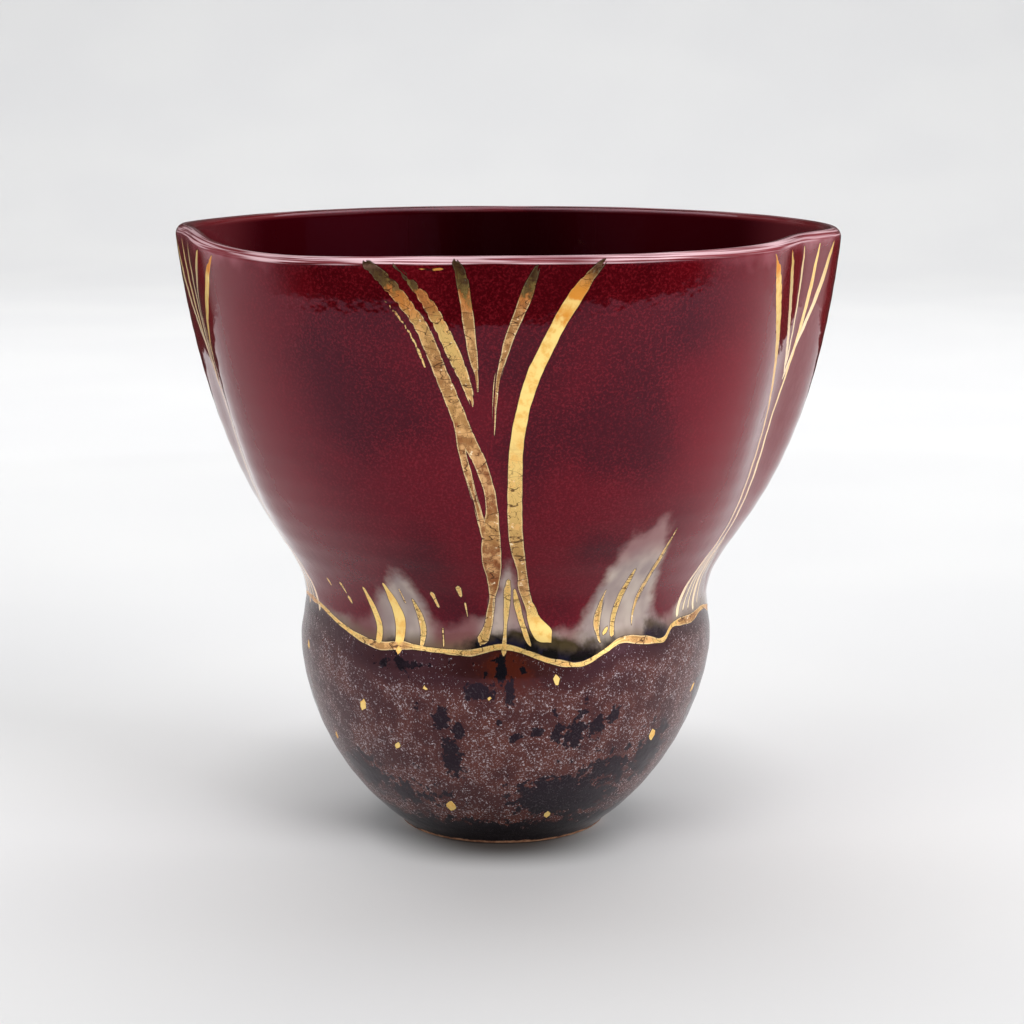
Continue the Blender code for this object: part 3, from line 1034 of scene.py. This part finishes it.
def bulb_glaze(kit, above, patch_and_foot_shade, bloom, burn):
    """Mauve brown with a crust of tiny pale crystals, black patches and a rusty bloom, darker towards the
    foot partly as painted shade.
    """
    drift = kit.noise(0.24, 2.0, 0.6)
    ragged = kit.noise(0.75, 3.0, 0.7)
    brown = kit.blend(kit.rise(drift, 0.35, 0.65), BROWN_DARK, BROWN_LIGHT)
    reach = kit.math("ADD", kit.math("MULTIPLY", drift, 5.0), kit.math("MULTIPLY", burn, 3.2))
    burnt = kit.rise(kit.math("ADD", above, reach), -0.8, 1.6)
    brown = kit.blend(kit.math("MULTIPLY", burnt, 0.8), brown, BROWN_BURNT)
    rust = kit.rise(kit.math("ADD", bloom, kit.math("MULTIPLY", ragged, 1.3)), 0.98, 1.48)
    brown = kit.blend(kit.math("MULTIPLY", rust, 0.85), brown, RUST_RED)
    # Black patches, and the dark foot, which is partly painted shade
    black = kit.rise(kit.math("ADD", patch_and_foot_shade, kit.swing(ragged, 2.2)), 0.36, 0.52)
    bare = kit.math("MULTIPLY", kit.rise(rust, 0.7, 0.0, 0.10, 1.0), kit.rise(black, 0.0, 1.0, 1.0, 0.08))
    crystal, tint = bulb_crystals(kit, drift, ragged, burnt, bare)
    colour = kit.blend(black, brown, PATCH_AND_FOOT_SHADE_BLACK)
    colour = kit.blend(kit.math("MULTIPLY", crystal, 0.85), colour, tint)
    return colour, kit.between(crystal, kit.between(black, 0.24, 0.16), 0.45), ragged


# Gold lustre: tan where thin, yellow where thick, orange near the rim and black at the top as a painted dark
# reflection, a cream painted sheen where seen at a glance, painted glints, and a painted highlight along the
# edges
GOLD_TAN_DARK = (0.26, 0.090, 0.030)
GOLD_TAN = (0.66, 0.37, 0.160)
GOLD_YELLOW = (1.0, 0.72, 0.240)
GOLD_AMBER = (0.86, 0.50, 0.12)
GOLD_ORANGE = (0.76, 0.30, 0.040)
# Cream of the painted sheen on gold seen at a glance
GOLD_CREAM_PAINTED_SHEEN = (0.96, 0.80, 0.52)
GOLD_GLINT = (0.95, 0.80, 0.55)
# Pale gold of the painted highlight along the strokes' raised edges
GOLD_EDGE_HIGHLIGHT = (1.0, 0.78, 0.42)
GOLD_CRACK = (0.045, 0.016, 0.006)
GOLD_OUTLINE = (0.010, 0.005, 0.004)
SCORCH_ORANGE = (0.56, 0.195, 0.045)
SCORCH_OLIVE_DARK = (0.050, 0.034, 0.010)
SCORCH_OLIVE = (0.17, 0.125, 0.036)
# Black of the painted dark reflection at the gold's tops
GOLD_PAINTED_DARK_REFLECTION = (0.016, 0.010, 0.005)

# Between these heights bright gold turns orange, and thin gold scorched, olive and then black; the black is a
# painted dark reflection
ORANGE_HEIGHTS = (78.0, 81.2)
RIM_TINT_AND_DARK_HEIGHTS = (80.0, 83.0)
OLIVE_HEIGHTS = (82.2, 83.8)
PAINTED_DARK_REFLECTION_HEIGHTS = (84.2, 85.8)

# How many millimetres these heights come and go by, and the marks of a dry brush to a millimetre
FIRING_UNEVENNESS = 7.0
RIM_DARK_UNEVENNESS = 5.0
BRISTLES_ACROSS = 3.4
BRISTLES_ALONG = 0.10


def nearest_stroke(kit, layer_count):
    """Across, half width, tone and depth inwards of whichever layer's stroke is nearest."""
    across, half, tone = kit.kept(gold_name(0))
    inward = kit.math("SUBTRACT", half, kit.math("ABSOLUTE", across))
    for index in range(1, layer_count):
        own_across, own_half, own_tone = kit.kept(gold_name(index))
        own = kit.math("SUBTRACT", own_half, kit.math("ABSOLUTE", own_across))
        nearer = kit.math("GREATER_THAN", own, inward)
        across = kit.between(nearer, across, own_across)
        half = kit.between(nearer, half, own_half)
        tone = kit.between(nearer, tone, own_tone)
        inward = kit.math("MAXIMUM", inward, own)
    return across, half, tone, inward


def gold_cover(kit, layer_count, above, height_up):
    """How far a place lies in from the gold's edge, and how bright the gold's tone is there."""
    across, half, tone, inward = nearest_stroke(kit, layer_count)
    grid = kit.add("ShaderNodeCombineXYZ")
    kit.put(grid.inputs[0], kit.math("MULTIPLY", across, BRISTLES_ACROSS))
    kit.put(grid.inputs[1], kit.math("MULTIPLY", height_up, BRISTLES_ALONG))
    bristle = kit.add("ShaderNodeTexNoise", noise_dimensions="2D")
    kit.put(bristle.inputs["Vector"], grid.outputs[0])
    kit.put(bristle.inputs["Scale"], 1.0)
    kit.put(bristle.inputs["Detail"], 0.0)
    dry = kit.rise(bristle.outputs["Fac"], 0.50, 0.62)
    dry = kit.math("MULTIPLY", dry, kit.rise(half, 0.60, 0.15, 0.0, 0.6))
    inward = kit.math("SUBTRACT", inward, kit.math("MULTIPLY", dry, kit.rise(tone, 0.6, 0.2)))

    swell = kit.noise(0.13, 1.0)
    seam_half = kit.rise(swell, 0.36, 0.64, SEAM_HALF_WIDTH - 0.14, SEAM_HALF_WIDTH + 0.12)
    seam = kit.math("SUBTRACT", seam_half, kit.math("ABSOLUTE", above))
    seam_tone = kit.rise(swell, 0.38, 0.60, 0.68, 0.20)
    tone = kit.between(kit.math("GREATER_THAN", inward, seam), seam_tone, tone)
    inward = kit.math("MAXIMUM", inward, seam)
    return kit.math("ADD", inward, kit.swing(kit.noise(0.42, 1.0), EDGE_WOBBLE)), tone


def lustre_cracks(kit, tone, blotch, crossing):
    """Hair cracks in the thin lustre, most of them across the strokes."""
    long_cracks = kit.noise(1.0, 1.5, 0.7, kit.stretched(kit.place, (0.22, 0.22, 0.62)))
    fainter = kit.math("MULTIPLY", kit.vein(blotch, 0.012), 0.7)
    crack = kit.math("MAXIMUM", kit.vein(long_cracks, 0.015), fainter)
    crack = kit.math("MAXIMUM", crack, kit.math("MULTIPLY", kit.vein(crossing, 0.010), 0.75))
    return kit.math("MULTIPLY", crack, kit.rise(tone, 0.92, 0.60))


def lustre_tone(kit, tone, blotch, fired):
    """The lustre's colour for its tone: tan at 0, bright at 1 and past that cream, a painted sheen."""
    tan = kit.blend(kit.rise(blotch, 0.38, 0.68), GOLD_TAN_DARK, GOLD_TAN)
    bright = kit.blend(kit.rise(blotch, 0.42, 0.70), GOLD_YELLOW, GOLD_AMBER)
    glowing = kit.math("MULTIPLY", kit.rise(fired, *ORANGE_HEIGHTS), kit.rise(tone, 1.04, 1.01))
    bright = kit.blend(glowing, bright, GOLD_ORANGE)
    # Past a tone of 1 the gold turns cream, a painted sheen
    return kit.blend(kit.rise(tone, 1.05, 1.50), kit.blend(tone, tan, bright), GOLD_CREAM_PAINTED_SHEEN)


def rim_tints_and_painted_dark_reflection(kit, fired, crossing):
    """The colours of thin lustre near the rim, from orange through olive to black, the black a painted dark
    reflection.
    """
    olive = kit.blend(kit.rise(crossing, 0.40, 0.62), SCORCH_OLIVE_DARK, SCORCH_OLIVE)
    scorch = kit.blend(kit.rise(fired, *OLIVE_HEIGHTS), SCORCH_ORANGE, olive)
    return kit.blend(kit.rise(fired, *PAINTED_DARK_REFLECTION_HEIGHTS), scorch, GOLD_PAINTED_DARK_REFLECTION)


def gold_lustre(kit, inward, tone, height_up):
    """Lustre over the glaze: tan and cracked where thin, bright yellow where thick."""
    blotch = kit.noise(0.75, 3.0, 0.65)
    crossing = kit.noise(1.6, 1.0, vector=kit.stretched(kit.place, (0.8, 0.8, 0.25)))
    fired = kit.math("ADD", height_up, kit.swing(blotch, FIRING_UNEVENNESS))
    colour = lustre_tone(kit, tone, blotch, fired)
    glint = kit.math("ADD", kit.noise(1.5, 1.0, 0.8), kit.rise(crossing, 0.42, 0.66, -0.16, 0.04))
    glint = kit.math("MULTIPLY", kit.rise(glint, 0.66, 0.74), kit.rise(tone, 0.9, 0.4, 0.0, 0.8))
    colour = kit.blend(glint, colour, GOLD_GLINT)
    # A painted highlight along the strokes' edges, where the lustre is raised
    edge = kit.math("MULTIPLY", kit.rise(inward, 0.17, 0.05), kit.rise(tone, 0.9, 0.3, 0.1, 0.6))
    colour = kit.blend(edge, colour, GOLD_EDGE_HIGHLIGHT)
    fired = kit.math("ADD", fired, kit.swing(crossing, RIM_DARK_UNEVENNESS))
    # Thin gold near the rim tinted orange and olive, then black as a painted dark reflection
    rim_tint_and_painted_dark_reflection = kit.math("MULTIPLY", kit.rise(fired, *RIM_TINT_AND_DARK_HEIGHTS), kit.rise(tone, 0.9, 0.2))
    colour = kit.blend(kit.math("MULTIPLY", rim_tint_and_painted_dark_reflection, 0.9), colour, rim_tints_and_painted_dark_reflection(kit, fired, crossing))
    cracks = kit.math("MULTIPLY", lustre_cracks(kit, tone, blotch, crossing), 0.85)
    return kit.blend(cracks, colour, GOLD_CRACK), kit.between(tone, 0.34, 0.26)


def raw_clay(kit, grit):
    """Unglazed brown clay."""
    return kit.blend(kit.rise(grit, 0.3, 0.7), CLAY_DARK, CLAY_LIGHT)


def glazed_and_gilded(layer_count):
    """The bowl's one fired surface: both glazes, the milky edge, the foot's clay and the gold."""
    kit = Recipe("maroon_and_gold_glaze")
    above, red, pool = kit.kept("zones")
    side, patch_and_foot_shade, bloom = kit.kept("marks")
    split = kit.add("ShaderNodeSeparateXYZ")
    kit.put(split.inputs[0], kit.place)
    height_up = split.outputs[2]

    swirl = kit.noise(0.42, 3.0, 0.55)
    ragged = kit.math("ADD", red, kit.swing(swirl, 2.8))
    maroon = maroon_glaze(kit, side, height_up, split.outputs[0])
    colour = kit.blend(kit.rise(ragged, -1.4, 0.9), milky_glaze(kit, above, bloom), maroon)
    murk = kit.math("ADD", pool, kit.swing(swirl, 0.9))
    colour = kit.blend(kit.rise(murk, 0.15, 0.62), colour, dark_pool(kit, above, swirl))

    speckled, speckled_rough, crust = bulb_glaze(kit, above, patch_and_foot_shade, bloom, pool)
    over = kit.rise(above, -0.10, 0.10)
    colour = kit.blend(over, speckled, colour)
    glassy = kit.rise(side, 0.6, 0.9, CUP_ROUGHNESS, INSIDE_ROUGHNESS)
    rough = kit.between(over, speckled_rough, glassy)

    bare = kit.rise(kit.math("ADD", height_up, swirl), CLAY_FOOT_HEIGHT, CLAY_FOOT_HEIGHT - 0.12)
    bare = kit.math("MULTIPLY", bare, kit.rise(side, 0.5, 0.4))
    colour = kit.blend(bare, colour, raw_clay(kit, crust))
    rough = kit.between(bare, rough, 0.80)

    inward, tone = gold_cover(kit, layer_count, above, height_up)
    gold, gold_rough = gold_lustre(kit, inward, tone, height_up)
    outline = kit.rise(inward, -0.15, -0.03)
    colour = kit.blend(kit.math("MULTIPLY", outline, 0.75), colour, GOLD_OUTLINE)
    cover = kit.rise(inward, -0.04, 0.05)
    kit.put(kit.shader.inputs["Base Color"], kit.blend(cover, colour, gold))
    kit.put(kit.shader.inputs["Metallic"], kit.math("MULTIPLY", cover, GOLD_METAL))
    kit.put(kit.shader.inputs["Roughness"], kit.between(cover, rough, gold_rough))
    kit.shader.inputs["IOR"].default_value = GLAZE_IOR
    kit.shader.inputs["Specular Tint"].default_value = GLAZE_SHEEN_TINT

    crust_depth = kit.rise(over, 0.0, 1.0, CRUST_DEPTH, CUP_UNEVENNESS)
    pitted = kit.math("MULTIPLY", kit.noise(0.55, 1.5, 0.65), crust_depth)
    kit.put(kit.shader.inputs["Normal"], kit.bump(pitted))
    return kit.material


# The table and the sweep behind it
TABLE_HALF_WIDTH = 2.2
TABLE_FRONT = -2.0
SWEEP_START = 0.85
SWEEP_RADIUS = 0.55
SWEEP_HEIGHT = 2.0
SWEEP_STEPS = 12
TABLE_GAP = 0.00005

TABLE_WHITE = (0.80, 0.80, 0.80)
TABLE_SMUDGE = (0.78, 0.78, 0.785)
# Dark brown of the painted contact shadow under the foot
PAINTED_CONTACT_SHADOW_BROWN = (0.022, 0.010, 0.004)

# The painted shadow on the table under and behind the bowl, and the dark painted contact shadow where it
# stands, in millimetres
SHADE_MIDDLE = (0.0, 22.0, 0.0)
SHADE_START = 18.0
SHADE_END = 52.0
SHADE_DEPTH = 0.26
CONTACT_SCALE = (1.0 / 14.0, 1.0 / 11.0, 0.0)
CONTACT_MIDDLE = (0.0, -12.0 / 11.0, 0.0)
CONTACT_START = 0.30
CONTACT_END = 1.45
CONTACT_DEPTH = 0.92


def table_top():
    """A flat top that curves up into the wall behind."""
    body = bmesh.new()
    profile = [(TABLE_FRONT, 0.0), (SWEEP_START, 0.0)]
    for turn in range(1, SWEEP_STEPS + 1):
        angle = turn / SWEEP_STEPS * math.pi / 2.0
        profile.append((SWEEP_START + SWEEP_RADIUS * math.sin(angle), SWEEP_RADIUS * (1.0 - math.cos(angle))))
    profile.append((SWEEP_START + SWEEP_RADIUS, SWEEP_HEIGHT))
    line = [body.verts.new((-TABLE_HALF_WIDTH, y, z - TABLE_GAP)) for y, z in profile]
    edges = [body.edges.new(pair) for pair in zip(line, line[1:])]
    made = bmesh.ops.extrude_edge_only(body, edges=edges)
    moved = [item for item in made["geom"] if isinstance(item, bmesh.types.BMVert)]
    bmesh.ops.translate(body, verts=moved, vec=(2.0 * TABLE_HALF_WIDTH, 0.0, 0.0))
    bmesh.ops.recalc_face_normals(body, faces=body.faces)
    mesh = bpy.data.meshes.new("white_table")
    body.to_mesh(mesh)
    body.free()
    mesh.shade_smooth()
    return mesh


def matt_white():
    """Matt white, a little smudged, with a painted shadow greyer behind the bowl and a dark painted contact
    shadow where it stands.
    """
    kit = Recipe("matt_white")
    smudge = kit.rise(kit.noise(0.012, 1.0), 0.35, 0.7)
    white = kit.blend(smudge, TABLE_SMUDGE, TABLE_WHITE)
    flat = kit.stretched(kit.place, (1.0, 1.0, 0.0))
    # Painted shadow: greyer round the bowl, most of all behind it
    shade = kit.rise(kit.distance(flat, SHADE_MIDDLE), SHADE_START, SHADE_END, SHADE_DEPTH, 0.0)
    white = kit.blend(shade, white, (0.0, 0.0, 0.0))
    # Painted contact shadow: dark where the foot stands
    off_middle = kit.distance(kit.stretched(kit.place, CONTACT_SCALE), CONTACT_MIDDLE)
    painted_contact_shadow = kit.rise(off_middle, CONTACT_START, CONTACT_END, CONTACT_DEPTH, 0.0)
    kit.put(kit.shader.inputs["Base Color"], kit.blend(painted_contact_shadow, white, PAINTED_CONTACT_SHADOW_BROWN))
    kit.shader.inputs["Roughness"].default_value = 0.7
    kit.shader.inputs["Specular IOR Level"].default_value = 0.1
    return kit.material


def white_table():
    """The table that the bowl stands on."""
    mesh = table_top()
    mesh.materials.append(matt_white())
    table = bpy.data.objects.new("white_table", mesh)
    bpy.context.scene.collection.objects.link(table)


# The dark screen that the glaze's upper band reflects: its middle, half widths and height
SCREEN_MIDDLE = (0.02, 0.07)
SCREEN_HALF_WIDTH = 0.355
SCREEN_HALF_DEPTH = 0.29
SCREEN_HEIGHT = 0.50
SCREEN_STEPS = 96
SCREEN_DENT = 0.28
SCREEN_DENT_MIDDLE = -0.02
SCREEN_DENT_WIDTH = 0.06
SKIRT_START = 250.0
SKIRT_FULL = 330.0
SKIRT_HEIGHT = 120.0
FELT_DARK = (0.006, 0.003, 0.002)
FELT_LIGHT = (0.014, 0.006, 0.004)


def screen_ring():
    """An upright wall in an oval round the bowl, dented in a little at the front."""
    body = bmesh.new()
    made = bmesh.ops.create_circle(body, segments=SCREEN_STEPS, radius=1.0, cap_ends=False)
    bmesh.ops.scale(body, verts=made["verts"], vec=(SCREEN_HALF_WIDTH, SCREEN_HALF_DEPTH, 1.0))
    bmesh.ops.translate(body, verts=made["verts"], vec=(*SCREEN_MIDDLE, 0.0))
    walls = bmesh.ops.extrude_edge_only(body, edges=body.edges)
    top = [item for item in walls["geom"] if isinstance(item, bmesh.types.BMVert)]
    bmesh.ops.translate(body, verts=top, vec=(0.0, 0.0, SCREEN_HEIGHT))
    mesh = bpy.data.meshes.new("dark_screen")
    body.to_mesh(mesh)
    body.free()
    for corner in mesh.vertices:
        away = corner.co.x - SCREEN_DENT_MIDDLE
        near_front = bell(away, SCREEN_DENT_WIDTH) * (corner.co.y < SCREEN_MIDDLE[1])
        corner.co.y *= 1.0 - SCREEN_DENT * near_front
    return mesh


def dark_felt():
    """Nearly black felt, with a pale skirt at the foot of the ring's two sides."""
    kit = Recipe("dark_felt")
    fibres = kit.rise(kit.noise(0.05, 1.0), 0.3, 0.7)
    split = kit.add("ShaderNodeSeparateXYZ")
    kit.put(split.inputs[0], kit.place)
    beside = kit.rise(kit.math("ABSOLUTE", split.outputs[0]), SKIRT_START, SKIRT_FULL)
    skirt = kit.math("MULTIPLY", beside, kit.rise(split.outputs[2], SKIRT_HEIGHT, 0.85 * SKIRT_HEIGHT))
    felt = kit.blend(fibres, FELT_DARK, FELT_LIGHT)
    kit.put(kit.shader.inputs["Base Color"], kit.blend(skirt, felt, TABLE_WHITE))
    kit.shader.inputs["Roughness"].default_value = 0.9
    return kit.material


def dark_screen():
    """The dark ring round the bowl, seen only in the glaze."""
    mesh = screen_ring()
    mesh.materials.append(dark_felt())
    screen = bpy.data.objects.new("dark_screen", mesh)
    bpy.context.scene.collection.objects.link(screen)
    screen.visible_camera = False
    screen.visible_shadow = False
    screen.visible_diffuse = False


# Soft lights: name, place, the point each is turned to, size and power
SOFTBOXES = (
    ("top_box", (0.0, 0.36, 1.0), (0.0, 0.10, 0.0), (1.2, 0.8), 5.5),
    ("wall_box", (0.0, 0.80, 0.70), (0.0, 0.50, 0.0), (1.6, 0.4), 2.6),
    ("floor_box", (0.0, 0.46, 0.55), (0.0, 0.42, 0.0), (1.6, 0.3), 1.1),
    ("left_box", (-0.85, -0.65, 0.30), (0.0, 0.0, 0.05), (0.7, 0.4), 7.2),
    ("right_box", (0.85, -0.60, 0.30), (0.0, 0.0, 0.05), (0.7, 0.4), 12.5),
)
SURROUND_COLOUR = (0.97, 0.98, 1.0, 1.0)
SURROUND_STRENGTH = 0.20


def softbox(name, place, target, size, power):
    """A soft area light turned towards a point."""
    light = bpy.data.lights.new(name, "AREA")
    light.shape = "RECTANGLE"
    light.size, light.size_y = size
    light.energy = power
    lamp = bpy.data.objects.new(name, light)
    lamp.location = place
    direction = Vector(target) - Vector(place)
    lamp.rotation_euler = direction.to_track_quat("-Z", "Y").to_euler()
    bpy.context.scene.collection.objects.link(lamp)


def studio():
    """Table, screen, lights and a pale surround."""
    white_table()
    dark_screen()
    for shape in SOFTBOXES:
        softbox(*shape)
    world = bpy.data.worlds.new("pale_surround")
    world.use_nodes = True
    background = world.node_tree.nodes["Background"]
    background.inputs["Color"].default_value = SURROUND_COLOUR
    background.inputs["Strength"].default_value = SURROUND_STRENGTH
    bpy.context.scene.world = world


# The camera stands just above the rim and looks a little down
CAMERA_PLACE = (0.00147, -0.385, 0.11612)
CAMERA_PITCH = 10.30
CAMERA_LENS = 93.52


def camera():
    """The photograph's view."""
    lens = bpy.data.cameras.new("camera")
    lens.lens = CAMERA_LENS
    lens.sensor_width = 36.0
    lens.clip_start = 0.01
    view = bpy.data.objects.new("camera", lens)
    view.location = CAMERA_PLACE
    view.rotation_euler = (math.radians(90.0 - CAMERA_PITCH), 0.0, 0.0)
    bpy.context.scene.collection.objects.link(view)
    bpy.context.scene.camera = view


camera()
bpy.context.scene.view_settings.view_transform = "Standard"
studio()
body = bowl_body()
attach(body, "root")
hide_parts("bowl")
